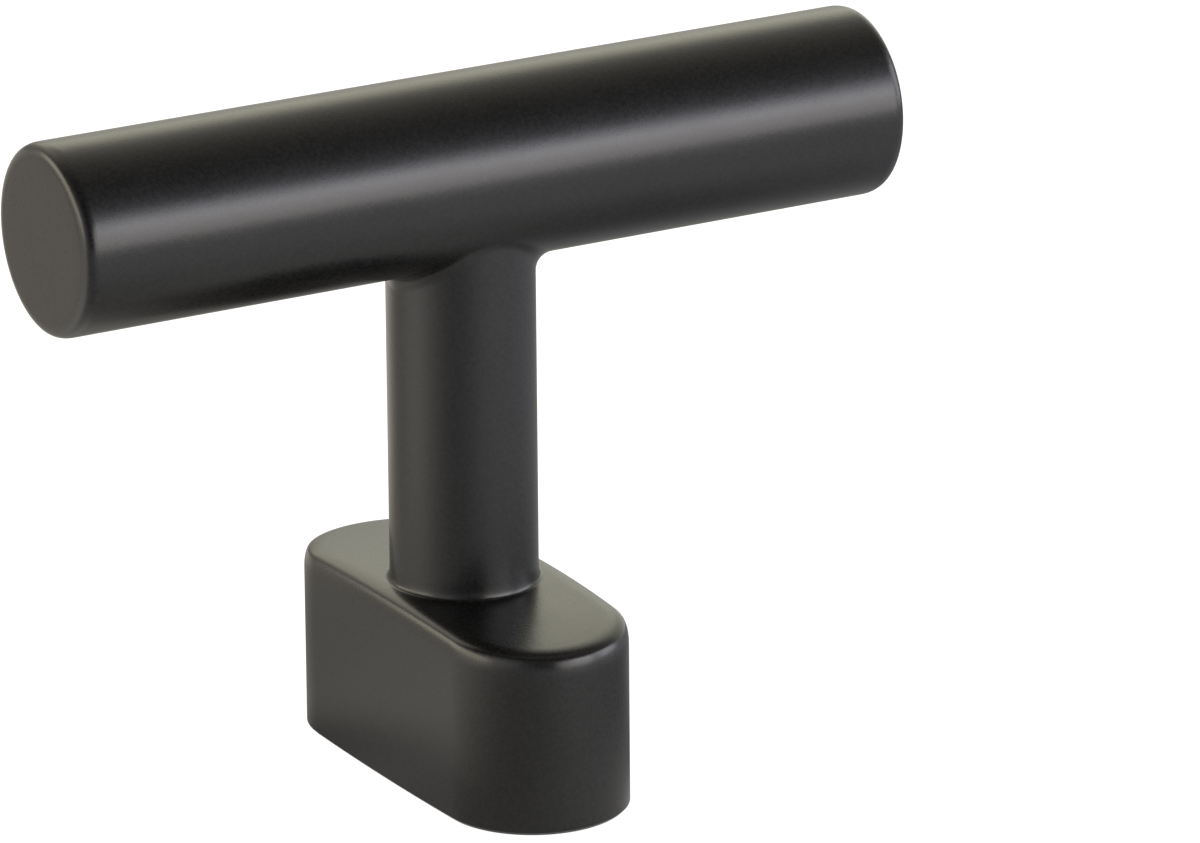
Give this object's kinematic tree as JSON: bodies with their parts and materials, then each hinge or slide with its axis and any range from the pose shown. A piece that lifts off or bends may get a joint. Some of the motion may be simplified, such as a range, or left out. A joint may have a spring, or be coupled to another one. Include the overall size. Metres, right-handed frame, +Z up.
{
  "type": "t-bar cabinet pull",
  "caption": "T-bar cabinet or drawer pull: a round bar on a round neck over an oblong foot with tapped fixing holes in its flat underside, die-cast in one piece.",
  "frame": {"origin": "centre of the foot's flat underside, the face that lies on the drawer or door front", "axes": "+X along the bar, +Y along the foot, +Z up from the front towards the bar"},
  "size_m": [0.0574, 0.029, 0.0448],
  "materials": {
    "black_coating": "matt black baked coating with a fine grain and a soft satin sheen, over a zinc casting"
  },
  "bodies": {
    "root": {"handle_body": "black_coating"}
  },
  "joints": []
}
